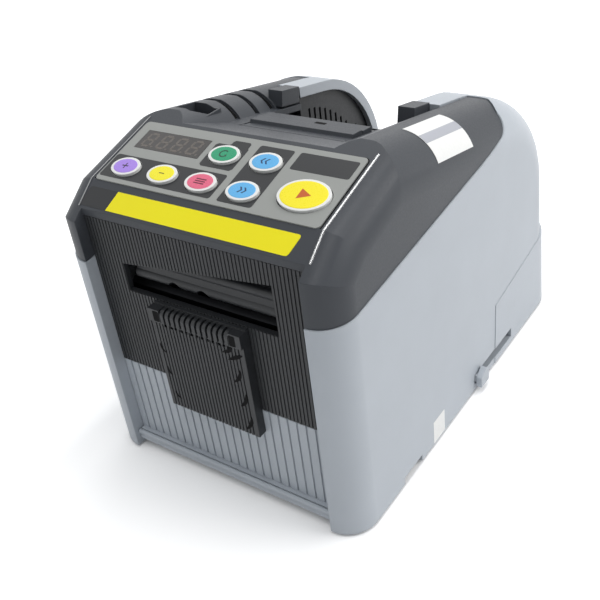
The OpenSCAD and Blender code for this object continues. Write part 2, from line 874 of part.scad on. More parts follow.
// Round tie bars between the two frame plates
module frame_ties() {
  color(steel)
    for (p = [[92, 30], [32, 92], [60, 118]]) bar(p[0], p[1], 3, -frame_x, frame_x);
}

guide_a = 14;
guide_from = 26;
guide_from_z = outlet_z + 5.6;

module tape_guide() {
  color(steel) {
    along_line(guide_from, guide_from_z, guide_a, 0, 47)
      translate([-frame_x, -1.2]) square([2 * frame_x, 1.2]);
    both_sides()
      along_line(guide_from, guide_from_z, guide_a, 2, 45)
        translate([well_x + 1, -0.1]) square([1.5, 4]);
  }
}

module fixed_blade() {
  color(steel)
    along_x(-frame_x, frame_x)
      polygon([[blade_d - blade_gap - 2.5, outlet_z - 14], [blade_d - blade_gap, outlet_z - 14],
        [blade_d - blade_gap, outlet_z + 1], [blade_d - blade_gap - 2.5, outlet_z - 0.6]]);
}

module blade_carriage() {
  d2 = carriage_d + carriage_t;
  color(steel) {
    block(-arm_x, arm_x, carriage_d, d2, carriage_z, carriage_z + carriage_h);
    both_sides() block(arm_x - arm_w, arm_x, carriage_d, d2, yoke_z, carriage_z + 1);
    block(-arm_x, arm_x, carriage_d, d2, yoke_z, yoke_z + yoke_h);
  }
}

// Saw-toothed blade screwed to the front of the carriage
module moving_blade() {
  x = 34;
  tooth = 2;
  n = 2 * x / tooth;
  low = carriage_z - 4;
  color([0.85, 0.86, 0.87])
    translate([0, front_y + blade_d + blade_t, 0])
      rotate([90, 0, 0])
        linear_extrude(blade_t)
          polygon(concat([[-x, carriage_z + 10], [-x, low]],
            [for (i = [0 : n - 1]) for (p = [[0.5, -1.2], [1, 0]]) [-x + (i + p[0]) * tooth, low + p[1]]],
            [[x, carriage_z + 10]]));
}

solenoid_top = yoke_z - blade_stroke - 0.6;

module cutter_solenoid() {
  color([0.25, 0.27, 0.3])
    difference() {
      block(-16, 16, plunger_d - 10, plunger_d + 14, base_top, solenoid_top);
      post(0, plunger_d, plunger_r + run_gap, base_top + 4, far);
    }
}

module solenoid_plunger() {
  color(steel)
    post(0, plunger_d, plunger_r, base_top + 4.6 + blade_stroke, yoke_z);
}

module feed_motor() {
  x2 = frame_x;
  color([0.55, 0.56, 0.58]) {
    bar(motor_d, motor_z, motor_r, x2 - motor_l, x2);
    bar(motor_d, motor_z, pinion_shaft_r + 3, x2 - 1, x2 + frame_t);
    bar(motor_d, motor_z, 5, x2 - motor_l - 3, x2 - motor_l + 1);
  }
}

// Straight-sided gear outline with a tooth on the +X axis
function gear_points(n, m, thin) = [for (i = [0 : n - 1])
  for (p = [[-0.31, -1.2], [-0.2 + thin, 0], [-0.1, 0.95], [0.1, 0.95], [0.2 - thin, 0], [0.31, -1.2]])
    let (a = (i + p[0]) * 360 / n, r = m * n / 2 + p[1] * m) [r * cos(a), r * sin(a)]];

module motor_pinion() {
  color([0.8, 0.7, 0.4]) {
    translate([0, front_y + motor_d, motor_z])
      rotate([90, 0, 90])
        rotate([0, 0, motor_turn + 45 + 180 + 180 / pinion_n])
          translate([0, 0, gear_x])
            linear_extrude(gear_w) polygon(gear_points(pinion_n, gear_m, 0));
    bar(motor_d, motor_z, pinion_shaft_r, frame_x + frame_t + seam, gear_x + gear_w);
  }
}

module feed_gear() {
  color([0.85, 0.85, 0.82])
    translate([0, front_y + feed_d, feed_z])
      rotate([90, 0, 90])
        rotate([0, 0, motor_turn + 45])
          translate([0, 0, gear_x])
            linear_extrude(gear_w)
              difference() {
                polygon(gear_points(gear_n, gear_m, 0));
                circle(shaft_r);
                for (a = [30 : 60 : 330]) rotate(a) translate([gear_m * gear_n * 0.3, 0]) circle(gear_m * 3.2);
              }
}

// Flanged bushes of the feed shaft, one in each frame plate
module feed_bushes() {
  color([0.7, 0.55, 0.3])
    both_sides()
      difference() {
        union() {
          bar(feed_d, feed_z, bush_r, frame_x - 1.5, frame_x + frame_t);
          bar(feed_d, feed_z, bush_r + 1.6, frame_x - 1.5, frame_x);
        }
        bar(feed_d, feed_z, shaft_r + run_gap, 0, far / 4);
      }
}

module feed_shaft() {
  color(steel) bar(feed_d, feed_z, shaft_r, -frame_x - frame_t - 2, gear_x + gear_w + 1);
}

// Ribbed rubber sleeve on the feed shaft
module feed_roller() {
  rings = 9;
  pitch = 2 * roller_x / rings;
  color([0.15, 0.15, 0.16])
    difference() {
      union() {
        bar(feed_d, feed_z, feed_r - 1, -roller_x, roller_x);
        for (i = [0 : rings - 1]) bar(feed_d, feed_z, feed_r, -roller_x + i * pitch, -roller_x + (i + 0.7) * pitch);
      }
      bar(feed_d, feed_z, shaft_r, -far / 4, far / 4);
    }
}

module pinch_roller() {
  color([0.75, 0.75, 0.72]) {
    bar(feed_d, pinch_z, pinch_r, -roller_x, roller_x);
    bar(feed_d, pinch_z, pinch_shaft_r, -frame_x - frame_t, frame_x + frame_t);
  }
}

// Lobed guard bar that hangs in the outlet, with two half-round gaps in its lower edge
module press_bar() {
  x = outlet_x - 2.5;
  low = outlet_z + 4;
  color(darker) {
    difference() {
      union() {
        along_x(-x, x) {
          translate([press_d - 0.6, low + 3]) circle(2.6);
          polygon([[press_d - 2.6, low + 2], [press_d + 1.8, low + 2], [press_d + 1.4, press_z], [press_d - 1.4, press_z]]);
        }
        along_x(-x, x) translate([press_d, press_z]) circle(2.4);
      }
      for (x0 = [-15.5, -0.5])
        translate([x0, front_y + press_d + 8, low - 0.4])
          rotate([90, 0, 0])
            cylinder(r = 4, h = 20);
    }
    bar(press_d, press_z, press_pin_r, -frame_x - frame_t, frame_x + frame_t);
  }
}

// Lid with two long steps, hinged at its front edge
module feed_lid() {
  lid_z = ridge_at(lid_d1) - plateau_in / cos(ridge_a);
  len = (lid_d2 - lid_pin_d) / cos(ridge_a);
  color(dark)
    difference() {
      union() {
        along_line(lid_pin_d, lid_pin_z + knuckle_r - 0.25, -ridge_a, 0, len)
          translate([-lid_x, -lid_t]) square([2 * lid_x, lid_t]);
        along_x(-lid_x, lid_x) {
          for (s = [8, 16])
            translate([lid_d1 + s, lid_z - s * tan(ridge_a)])
              polygon([[0, -0.5], [0.8, 1.3], [7, 0.7], [7.4, -2]]);
          translate([lid_pin_d, lid_pin_z]) rotate(180) circle(knuckle_r);
        }
      }
      bar(lid_pin_d, lid_pin_z, lid_pin_r + run_gap, -far / 4, far / 4);
      block(1.6, 7, lid_d1 + 16.6, lid_d1 + 17.8, 100, far);
    }
}

module lid_pin() {
  color(steel) bar(lid_pin_d, lid_pin_z, lid_pin_r, -lid_pin_x, lid_pin_x);
}

module idler(s) {
  d = trough_d + s * idle_off;
  z = trough_z - idle_drop;
  x = well_x - 0.8;
  color(light) {
    bar(d, z, idle_r, -x, x);
    bar(d, z, idle_pin_r, -panel_x - well_t, panel_x + well_t);
  }
}

module front_idler() { idler(-1); }

module rear_idler() { idler(1); }

// Slide latch low on the right side, with a flange behind the shell
module side_latch() {
  d1 = latch_d + 0.4;
  x = body_w / 2 - wall;
  color(light) {
    block(x - 0.4, body_w / 2 - 0.2, d1, d1 + latch_len, base_z + 0.6, base_z + 5.2);
    block(x - 1.8, x - 0.35, d1, d1 + latch_len, base_top + seam, base_z + 7);
    for (i = [0 : 2]) block(body_w / 2 - 0.3, body_w / 2 + 0.2, d1 + 1.6 + i * 2.4, d1 + 2.8 + i * 2.4, base_z + 1, base_z + 4.8);
  }
}

module key_cap(i) {
  k = keys[i];
  color(k[5])
    on_slope(-key_depth)
      translate([k[1], k[2], 0]) {
        linear_extrude(key_depth + key_up - 0.3) oval(k[3], k[4]);
        linear_extrude(key_depth + key_up) oval(k[3] - 0.5, k[4] - 0.5);
      }
}

module key_plus() { key_cap(0); }
module key_minus() { key_cap(1); }
module key_select() { key_cap(2); }
module key_auto() { key_cap(3); }
module key_reverse() { key_cap(4); }
module key_forward() { key_cap(5); }
module key_start() { key_cap(6); }

base_plate();
left_shell();
right_shell();
top_cover();
front_panel();
lower_panel();
front_lip();
exit_guide();
well_trough();
left_well_panel();
right_well_panel();
rear_panel();
control_overlay();
display_window();
display_module();
control_board();
main_board();
power_supply();
power_inlet();
switch_housing();
power_rocker();
left_frame();
right_frame();
frame_ties();
tape_guide();
fixed_blade();
blade_carriage();
moving_blade();
cutter_solenoid();
solenoid_plunger();
feed_motor();
motor_pinion();
feed_bushes();
feed_shaft();
feed_roller();
feed_gear();
pinch_roller();
press_bar();
feed_lid();
lid_pin();
front_idler();
rear_idler();
side_latch();
feet();
base_screws();
key_plus();
key_minus();
key_select();
key_auto();
key_reverse();
key_forward();
key_start();
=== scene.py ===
"""Looks of the electric tape dispenser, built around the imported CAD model.

Lengths in the piece builders are millimetres in the part's own frame: x across, d from the front
face, z up. Everything is turned into metres when a mesh is made.
"""

import math
from collections import namedtuple

import bmesh
import bpy
from mathutils import Matrix, Vector


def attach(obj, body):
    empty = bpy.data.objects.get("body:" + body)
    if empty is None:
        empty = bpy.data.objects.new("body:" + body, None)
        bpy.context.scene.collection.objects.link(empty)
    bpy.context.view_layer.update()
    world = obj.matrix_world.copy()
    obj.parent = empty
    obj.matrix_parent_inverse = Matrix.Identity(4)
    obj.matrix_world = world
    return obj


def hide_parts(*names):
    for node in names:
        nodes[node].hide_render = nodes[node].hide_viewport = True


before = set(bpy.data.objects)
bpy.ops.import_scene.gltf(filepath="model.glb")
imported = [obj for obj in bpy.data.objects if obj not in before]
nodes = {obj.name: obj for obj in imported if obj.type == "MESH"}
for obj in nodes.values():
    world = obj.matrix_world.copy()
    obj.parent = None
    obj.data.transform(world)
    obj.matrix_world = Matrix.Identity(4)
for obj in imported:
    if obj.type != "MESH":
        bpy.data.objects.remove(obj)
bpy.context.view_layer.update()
scene = bpy.context.scene

MM = 0.001

# Length of the body and half of its width
BODY_L, SIDE_X = 213.0, 70.0
# Crest where the control slope meets the ridges, and the front ends of the slope and of the chamfer
CREST_D, CREST_Z = 62.0, 150.5
SLOPE_D, PANEL_D = 16.0, 5.6
SLOPE_A, CHAMFER_A, RIDGE_A = math.radians(16.2), math.radians(38.2), math.radians(11.0)
SLOPE_Z = CREST_Z - (CREST_D - SLOPE_D) * math.tan(SLOPE_A)
CHAMFER_Z = SLOPE_Z - (SLOPE_D - PANEL_D) * math.tan(CHAMFER_A)
SLOPE_LEN = (CREST_D - SLOPE_D) / math.cos(SLOPE_A)
CHAMFER_LEN = (SLOPE_D - PANEL_D) / math.cos(CHAMFER_A)
# Depth of the cover's surface under those planes
COVER_IN = 0.5
# Middle and radius of the round ridges
RIDGE_X, RIDGE_R = 50.0, 20.0


# Materials: noise scales are in cells per metre, reliefs in metres

CLOUD_SCALE, LINE_SCALE, TRACK_SCALE, FIBRE_SCALE = 34.0, 90.0, 210.0, 700.0
GRAIN_RELIEF, LINE_RELIEF, TRACK_RELIEF, FIBRE_RELIEF = 0.00012, 0.00008, 0.0001, 0.00005
COAT_ROUGH = 0.12


def linear(rgb):
    """Linear colour of an sRGB colour given as 0 to 255."""
    out = []
    for v in rgb:
        c = v / 255.0
        out.append(c / 12.92 if c <= 0.04045 else ((c + 0.055) / 1.055) ** 2.4)
    return (*out, 1.0)


def scaled(colour, k):
    """Colour made k times as bright."""
    return (*(min(c * k, 1.0) for c in colour[:3]), 1.0)


def start_material(name):
    """A new material with its node tree, its shader and the object's coordinates."""
    mat = bpy.data.materials.new(name)
    mat.use_nodes = True
    tree = mat.node_tree
    shader = tree.nodes["Principled BSDF"]
    coords = tree.nodes.new("ShaderNodeTexCoord")
    return mat, tree, shader, coords.outputs["Object"]


def noise(tree, coords, scale, detail=2.0, roughness=0.5, stretch=None):
    if stretch:
        mapping = tree.nodes.new("ShaderNodeMapping")
        mapping.inputs["Scale"].default_value = stretch
        tree.links.new(coords, mapping.inputs["Vector"])
        coords = mapping.outputs["Vector"]
    node = tree.nodes.new("ShaderNodeTexNoise")
    node.inputs["Scale"].default_value = scale
    node.inputs["Detail"].default_value = detail
    node.inputs["Roughness"].default_value = roughness
    tree.links.new(coords, node.inputs["Vector"])
    return node.outputs["Fac"]


def ramp(tree, value, stops):
    """Colour by value, through stops of position and colour."""
    node = tree.nodes.new("ShaderNodeValToRGB")
    node.color_ramp.elements[0].position, node.color_ramp.elements[0].color = stops[0]
    node.color_ramp.elements[1].position, node.color_ramp.elements[1].color = stops[-1]
    for position, colour in stops[1:-1]:
        node.color_ramp.elements.new(position).color = colour
    tree.links.new(value, node.inputs["Fac"])
    return node.outputs["Color"]


def spread(tree, value, low, high, start=0.3, end=0.7):
    """Value from low to high as the given one goes from start to end."""
    node = tree.nodes.new("ShaderNodeMapRange")
    node.inputs["From Min"].default_value = start
    node.inputs["From Max"].default_value = end
    node.inputs["To Min"].default_value = low
    node.inputs["To Max"].default_value = high
    tree.links.new(value, node.inputs["Value"])
    return node.outputs["Result"]


def combined(tree, operation, a, b):
    """Result of a math node on two values."""
    node = tree.nodes.new("ShaderNodeMath")
    node.operation = operation
    tree.links.new(a, node.inputs[0])
    tree.links.new(b, node.inputs[1])
    return node.outputs[0]


def bump(tree, value, strength, distance, shader, soft=0.0):
    """Surface relief; soft is the radius over which moulded edges are eased, in metres."""
    node = tree.nodes.new("ShaderNodeBump")
    node.inputs["Strength"].default_value = strength
    node.inputs["Distance"].default_value = distance
    tree.links.new(value, node.inputs["Height"])
    if soft:
        edge = tree.nodes.new("ShaderNodeBevel")
        edge.samples = 4
        edge.inputs["Radius"].default_value = soft
        tree.links.new(edge.outputs["Normal"], node.inputs["Normal"])
    tree.links.new(node.outputs["Normal"], shader.inputs["Normal"])


def plastic(name, rgb, rough, grain=1500.0, depth=0.16, tone=0.05, specular=0.45, coat=0.0, soft=0.0):
    """Moulded plastic: a fine spark-eroded grain, faint cloudy tone and uneven gloss."""
    mat, tree, shader, coords = start_material(name)
    base = linear(rgb)
    cloud = noise(tree, coords, CLOUD_SCALE, 3.0, 0.6)
    fine = noise(tree, coords, grain, 2.0, 0.55)
    stops = [(0.25, scaled(base, 1.0 - tone)), (0.5, base), (0.78, scaled(base, 1.0 + tone))]
    tree.links.new(ramp(tree, cloud, stops), shader.inputs["Base Color"])
    tree.links.new(spread(tree, fine, rough - 0.06, rough + 0.06), shader.inputs["Roughness"])
    shader.inputs["Specular IOR Level"].default_value = specular
    shader.inputs["Coat Weight"].default_value = coat
    shader.inputs["Coat Roughness"].default_value = COAT_ROUGH
    bump(tree, fine, depth, GRAIN_RELIEF, shader, soft)
    return mat


def printed(name, rgb, rough, tone=0.02):
    """Printed film or hard key plastic, with almost no grain."""
    return plastic(name, rgb, rough, grain=2400.0, depth=0.05, tone=tone)


def metal(name, rgb, rough, stretch=(1.0, 40.0, 40.0), depth=0.06):
    """Rolled or turned metal, with fine lines along one way."""
    mat, tree, shader, coords = start_material(name)
    base = linear(rgb)
    lines = noise(tree, coords, LINE_SCALE, 4.0, 0.6, stretch)
    stops = [(0.3, scaled(base, 0.86)), (0.5, base), (0.72, scaled(base, 1.08))]
    tree.links.new(ramp(tree, lines, stops), shader.inputs["Base Color"])
    tree.links.new(spread(tree, lines, rough - 0.08, rough + 0.1), shader.inputs["Roughness"])
    shader.inputs["Metallic"].default_value = 1.0
    bump(tree, lines, depth, LINE_RELIEF, shader)
    return mat


def board(name, rgb):
    """Circuit board: solder mask with paler tracks."""
    mat, tree, shader, coords = start_material(name)
    base = linear(rgb)
    cells = tree.nodes.new("ShaderNodeTexVoronoi")
    cells.feature = "DISTANCE_TO_EDGE"
    cells.inputs["Scale"].default_value = TRACK_SCALE
    tree.links.new(coords, cells.inputs["Vector"])
    stops = [(0.02, scaled(base, 2.0)), (0.06, base), (0.9, scaled(base, 0.85))]
    tree.links.new(ramp(tree, cells.outputs["Distance"], stops), shader.inputs["Base Color"])
    shader.inputs["Roughness"].default_value = 0.38
    bump(tree, cells.outputs["Distance"], 0.1, TRACK_RELIEF, shader)
    return mat


def paper(name, rgb):
    """Label stock: soft white with faint fibres."""
    mat, tree, shader, coords = start_material(name)
    base = linear(rgb)
    fibre = noise(tree, coords, FIBRE_SCALE, 4.0, 0.65)
    tree.links.new(ramp(tree, fibre, [(0.3, scaled(base, 0.95)), (0.7, base)]), shader.inputs["Base Color"])
    tree.links.new(spread(tree, fibre, 0.42, 0.55), shader.inputs["Roughness"])
    bump(tree, fibre, 0.06, FIBRE_RELIEF, shader)
    return mat


LIGHT = plastic("light_plastic", (181, 187, 194), 0.42, grain=1700.0, depth=0.1, tone=0.03, soft=0.0005)
DARK = plastic("dark_plastic", (65, 68, 73), 0.44, specular=0.28, soft=0.0005)
EDGE_GLOSS = plastic("dark_edge", (84, 86, 90), 0.16, depth=0.02, tone=0.03, specular=0.6, coat=1.0)
BLACK = plastic("black_plastic", (37, 39, 42), 0.48, tone=0.06, soft=0.00025)
WELL = plastic("well_plastic", (38, 40, 43), 0.52, grain=1300.0, tone=0.06, soft=0.0004)
OVERLAY = plastic("overlay_film", (150, 152, 149), 0.34, grain=2600.0, depth=0.06, tone=0.02)
PRINT = plastic("printed_black", (31, 33, 36), 0.34, grain=2600.0, depth=0.06, tone=0.03)
WINDOW = plastic("display_tint", (40, 36, 35), 0.14, grain=2600.0, depth=0.02, specular=0.5, coat=0.4)
SEGMENT = plastic("display_segment", (98, 92, 87), 0.3, grain=2600.0, depth=0.03, tone=0.04)
RING = printed("key_white", (236, 236, 234), 0.33, tone=0.015)
RUBBER = plastic("rubber", (34, 34, 35), 0.72, grain=900.0, depth=0.3, tone=0.08, specular=0.3)
NYLON = plastic("nylon", (205, 204, 196), 0.4, grain=1200.0, depth=0.08, tone=0.03)
MODULE = plastic("module_black", (26, 26, 27), 0.4, depth=0.1)
STEEL = metal("steel", (128, 130, 133), 0.42)
BLADE = metal("blade_steel", (116, 118, 122), 0.34)
BLUED = metal("blued_steel", (46, 47, 50), 0.4)
ZINC = metal("zinc_can", (140, 142, 146), 0.4, stretch=(30.0, 1.0, 30.0))
BRONZE = metal("bronze", (168, 128, 78), 0.38)
BOARD = board("solder_mask", (24, 92, 54))
PAPER = paper("label_white", (240, 240, 238))
SILVER = paper("label_grey", (176, 178, 186))
YELLOW_STRIP = printed("strip_yellow", (255, 242, 14), 0.36)
# Near-black for painted shade: in the seam round the overlay, the guide's marks and recesses, the ridge
# grooves, the latch's slot and the lid's slit
PAINTED_SHADE = plastic("deep_shadow", (18, 18, 19), 0.8, depth=0.1, specular=0.1)

# Keys: place on the slope, half axes of the rim and the film, colours of film and sign, material slot
Key = namedtuple("Key", "place rim film colour ink slot")
SMALL = ((7.2, 5.2), (5.9, 4.15))
LARGE = ((11.0, 8.1), (9.8, 7.1))
KEYS = {
    "key_plus": Key((-44.4, 9.0), *SMALL, (172, 138, 232), (52, 38, 66), "key_violet"),
    "key_minus": Key((-24.4, 9.0), *SMALL, (250, 238, 40), (112, 100, 30), "key_yellow"),
    "key_select": Key((-4.4, 9.0), *SMALL, (228, 104, 134), (98, 26, 48), "key_pink"),
    "key_auto": Key((-4.4, 25.6), *SMALL, (36, 156, 112), (10, 62, 44), "key_green"),
    "key_reverse": Key((16.0, 25.6), *SMALL, (98, 180, 234), (22, 58, 100), "key_blue"),
    "key_forward": Key((16.0, 9.0), *SMALL, (98, 180, 234), (22, 58, 100), "key_blue"),
    "key_start": Key((41.4, 13.0), *LARGE, (252, 236, 34), (196, 92, 30), "key_yellow"),
}

NODE_MATERIAL = {
    LIGHT: ["lower_panel"],
    DARK: ["base_plate"],
    WELL: ["well_trough", "left_well_panel", "right_well_panel"],
    BLACK: ["front_panel", "exit_guide", "press_bar", "power_inlet", "switch_housing"],
    MODULE: ["display_module", "power_rocker"],
    RING: list(KEYS),
    OVERLAY: ["control_overlay"],
    WINDOW: ["display_window"],
    BOARD: ["control_board", "main_board"],
    STEEL: ["left_frame", "right_frame", "frame_ties", "tape_guide", "blade_carriage", "solenoid_plunger",
            "feed_shaft", "base_screws"],
    BLADE: ["moving_blade"],
    BLUED: ["fixed_blade", "lid_pin"],
    ZINC: ["feed_motor", "cutter_solenoid", "power_supply"],
    NYLON: ["feed_gear", "pinch_roller", "front_idler", "rear_idler"],
    BRONZE: ["feed_bushes", "motor_pinion"],
    RUBBER: ["feed_roller", "feet"],
}

for mat, names in NODE_MATERIAL.items():
    for name in names:
        nodes[name].data.materials.clear()
        nodes[name].data.materials.append(mat)


# Mouldings shown by a cleaned copy: material, slot, body and edge rounding in millimetres

SKINS = {
    "left_shell": (LIGHT, "light_plastic", "housing", 0.0),
    "right_shell": (LIGHT, "light_plastic", "housing", 0.0),
    "front_lip": (LIGHT, "light_plastic", "housing", 0.3),
    "rear_panel": (LIGHT, "light_plastic", "housing", 0.4),
    "top_cover": (DARK, "dark_plastic", "housing", 0.0),
    "feed_lid": (DARK, "dark_plastic", "lid", 0.0),
}

# Points this close are one, and faces within this angle are merged before edges are rounded
WELD_GAP, MERGE_A = 4e-6, math.radians(0.2)
# Angles past which shading breaks: between any faces, and between two large flat ones
SHARP, STEP = math.radians(17), math.radians(1)
# Cosine of the angle within which faces lie in one plane, and the area of a large flat face
FLAT, FLAT_AREA = math.cos(math.radians(0.5)), 3e-4
# Edges past this angle are rounded
ROUND_FROM = math.radians(40)


def flat_regions(bm):
    """Region number of each face and the area of each region of faces that lie in one plane."""
    region, areas = {}, []
    for first in bm.faces:
        if first in region:
            continue
        region[first] = len(areas)
        area, queue = 0.0, [first]
        while queue:
            face = queue.pop()
            area += face.calc_area()
            for other in (f for e in face.edges for f in e.link_faces):
                if other not in region and face.normal.dot(other.normal) > FLAT:
                    region[other] = len(areas)
                    queue.append(other)
        areas.append(area)
    return region, areas


def corner_normals(bm):
    """Normal of every face corner: large flat faces keep their own, and roundings blend into them."""
    region, areas = flat_regions(bm)
    normals = {}

    def parts(edge):
        angle = edge.calc_face_angle(math.pi)
        return angle > SHARP or angle > STEP and all(areas[region[f]] > FLAT_AREA for f in edge.link_faces)

    sharp = {edge for edge in bm.edges if parts(edge)}
    for vert in bm.verts:
        left = set(vert.link_faces)
        while left:
            fan = [left.pop()]
            for face in fan:
                for edge in face.edges:
                    if vert in edge.verts and edge not in sharp:
                        joined = [f for f in edge.link_faces if f in left]
                        left.difference_update(joined)
                        fan += joined
            largest = max(fan, key=lambda f: areas[region[f]])
            if areas[region[largest]] > FLAT_AREA:
                normal = largest.normal.copy()
            else:
                corners = [c for f in fan for c in f.loops if c.vert == vert]
                normal = sum((c.face.normal * c.calc_angle() for c in corners), Vector()).normalized()
            normals.update(((face, vert), normal) for face in fan)
    return [normals[face, corner.vert] for face in bm.faces for corner in face.loops]


def round_edges(obj, width):
    """Gives a piece a modifier that rounds its sharp edges."""
    bevel = obj.modifiers.new("edge", "BEVEL")
    bevel.width = width * MM
    bevel.segments = 2
    bevel.limit_method = "ANGLE"
    return bevel


def skin(name, mat, slot, body, width):
    """Shows a CAD node by a cleaned copy with even shading, or with rounded edges where a width is given."""
    bm = bmesh.new()
    bm.from_mesh(nodes[name].data)
    bmesh.ops.remove_doubles(bm, verts=bm.verts, dist=WELD_GAP)
    if width:
        bmesh.ops.dissolve_limit(bm, angle_limit=MERGE_A, verts=bm.verts, edges=bm.edges)
    bm.normal_update()
    normals = corner_normals(bm)
    mesh = bpy.data.meshes.new(name + "_skin")
    bm.to_mesh(mesh)
    bm.free()
    mesh.materials.append(mat)
    mesh.polygons.foreach_set("use_smooth", [True] * len(mesh.polygons))
    obj = bpy.data.objects.new(name + "_skin", mesh)
    scene.collection.objects.link(obj)
    if width:
        mesh.set_sharp_from_angle(angle=SHARP)
        bevel = round_edges(obj, width)
        bevel.angle_limit = ROUND_FROM
        bevel.use_clamp_overlap = False
        bevel.harden_normals = True
    else:
        mesh.normals_split_custom_set(normals)
    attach(obj, body)
    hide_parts(name)


for name, given in SKINS.items():
    skin(name, *given)


# Placing

def placed(x, d, z, turn):
    """Frame in millimetres with its origin at a place on the part."""
    place = Matrix.Translation(Vector((x * MM, (d - BODY_L / 2) * MM, z * MM)))
    return place @ turn @ Matrix.Scale(MM, 4)


def tilted(d, z, angle):
    """Frame on a slope: x across, y up the slope, z out of it."""
    return placed(0.0, d, z, Matrix.Rotation(angle, 4, "X"))


def upright(d):
    """Frame on a front face at distance d: x across, y up, z towards the viewer."""
    return placed(0.0, d, 0.0, Matrix.Rotation(math.radians(90), 4, "X"))


def sideways(x):
    """Frame on the right side at x: x towards the back, y up, z outwards."""
    return placed(x, 0.0, 0.0, Matrix(((0, 0, 1, 0), (1, 0, 0, 0), (0, 1, 0, 0), (0, 0, 0, 1))))


ON_SLOPE = tilted(SLOPE_D, SLOPE_Z, SLOPE_A)
ON_CHAMFER = tilted(PANEL_D, CHAMFER_Z, CHAMFER_A)
ON_RIDGE = tilted(CREST_D, CREST_Z, -RIDGE_A)
BY_FRONT = placed(0.0, 0.0, 0.0, Matrix.Identity(4))


# Making pieces

def add(name, bm, place, mat, body, smooth=None):
    """Adds a piece on a body, shaded smooth up to an angle in degrees where one is given."""
    mesh = bpy.data.meshes.new(name)
    bmesh.ops.recalc_face_normals(bm, faces=bm.faces)
    bm.to_mesh(mesh)
    bm.free()
    mesh.transform(place)
    mesh.materials.append(mat)
    if smooth is not None:
        mesh.polygons.foreach_set("use_smooth", [True] * len(mesh.polygons))
        mesh.set_sharp_from_angle(angle=math.radians(smooth))
    obj = bpy.data.objects.new(name, mesh)
    scene.collection.objects.link(obj)
    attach(obj, body)
    return obj


def loft(*solids):
    """Mesh of closed solids, each a skin through rings of points with a cap at both ends."""
    bm = bmesh.new()
    for rings in solids:
        rows = [[bm.verts.new(p) for p in ring] for ring in rings]
        n = len(rows[0])
        for a, b in zip(rows, rows[1:]):
            for k in range(n):
                bm.faces.new((a[k], a[(k + 1) % n], b[(k + 1) % n], b[k]))
        bm.faces.new(rows[0][::-1])
        bm.faces.new(rows[-1])
    return bm


def fill_plate(bm, loops, low, high):
    """A flat plate between two heights, outlined by the first loop, with the other loops cut out."""
    edges = []
    for loop in loops:
        verts = [bm.verts.new((u, w, low)) for u, w in loop]
        edges += [bm.edges.new((verts[i], verts[(i + 1) % len(verts)])) for i in range(len(verts))]
    made = bmesh.ops.triangle_fill(bm, use_beauty=True, use_dissolve=False, edges=edges)
    faces = [g for g in made["geom"] if isinstance(g, bmesh.types.BMFace)]
    lifted = bmesh.ops.extrude_face_region(bm, geom=faces)
    verts = [g for g in lifted["geom"] if isinstance(g, bmesh.types.BMVert)]
    bmesh.ops.translate(bm, verts=verts, vec=(0, 0, high - low))


def plate(name, shapes, low, high, place, mat, body):
    """One piece of one or more flat plates; each shape is a list of loops."""
    bm = bmesh.new()
    for loops in shapes:
        fill_plate(bm, loops, low, high)
    return add(name, bm, place, mat, body)


def shifted(points, u, w):
    return [(u + p[0], w + p[1]) for p in points]


def oval(u, w, a, b, n=56):
    turn = [2 * math.pi * k / n for k in range(n)]
    return [(u + a * math.cos(t), w + b * math.sin(t)) for t in turn]


def polar(r, degrees):
    t = math.radians(degrees)
    return (r * math.cos(t), r * math.sin(t))


def arc(u, w, r, start, sweep, n):
    """Arc of n steps about a middle, from a start through a sweep in degrees."""
    return shifted([polar(r, start + sweep * k / n) for k in range(n + 1)], u, w)


def rounded(u1, w1, u2, w2, r, n=6):
    """Rectangle between two corners, with each corner rounded in n steps."""
    middles = ((u2 - r, w2 - r), (u1 + r, w2 - r), (u1 + r, w1 + r), (u2 - r, w1 + r))
    return [p for k, (u, w) in enumerate(middles) for p in arc(u, w, r, 90 * k, 90, n)]


# Control overlay: printed grounds, a bare plate, and a dark band round it painted as the shade in its seam

GROUND_LOW, GROUND_HIGH, GROUND_R = 0.0, 0.05, 1.2
KEY_GAP = 0.45
SET_GROUND = (-54.7, 2.3, 4.3, 15.8)
FEED_GROUND = (7.7, 2.2, 24.2, 34.7)
BARE_PLATE, BARE_R = (27.0, 25.0, 53.2, 34.6), 1.0
# Ground of one key, with a tab at its top right
AUTO_GROUND = [(-12.7, 19.2), (-11.6, 18.1), (2.8, 18.1), (3.9, 19.2), (3.9, 30.8), (3.3, 31.6), (3.3, 33.9),
               (2.4, 34.8), (-4.7, 34.8), (-5.6, 33.9), (-5.6, 32.6), (-6.3, 31.9), (-11.6, 31.9),
               (-12.7, 30.8)]


def ground(name, outline, *keys):
    """Dark print on the overlay, open round the keys that stand in it."""
    holes = [oval(*KEYS[key].place, *(half + KEY_GAP for half in KEYS[key].rim)) for key in keys]
    plate(name, [[outline] + holes], GROUND_LOW, GROUND_HIGH, ON_SLOPE, PRINT, "housing")


ground("ground_set_keys", rounded(*SET_GROUND, GROUND_R), "key_plus", "key_minus", "key_select")
ground("ground_auto_key", AUTO_GROUND, "key_auto")
ground("ground_feed_keys", rounded(*FEED_GROUND, GROUND_R), "key_reverse", "key_forward")
ground("bare_plate", rounded(*BARE_PLATE, BARE_R))

OVERLAY_HALF, OVERLAY_L, OVERLAY_R = 55.27, 37.52, 2.0
SEAM_W, SEAM_START = 0.5, 0.4
SEAM_LOW, SEAM_HIGH = -COVER_IN - 0.02, -COVER_IN + 0.05


def arch(grow):
    """Sides and top of the overlay's outline, moved outwards."""
    half, top, r = OVERLAY_HALF + grow, OVERLAY_L + grow, OVERLAY_R + grow
    right = [(half, SEAM_START)] + arc(half - r, top - r, r, 0, 90, n=6)
    return right + [(-u, w) for u, w in right[::-1]]


# Painted shade: a near-black band lying in the seam round the overlay
plate("overlay_seam_shade", [[arch(SEAM_W) + arch(0.0)[::-1]]], SEAM_LOW, SEAM_HIGH, ON_SLOPE, PAINTED_SHADE, "housing")


# Display: four unlit digits, each with its point

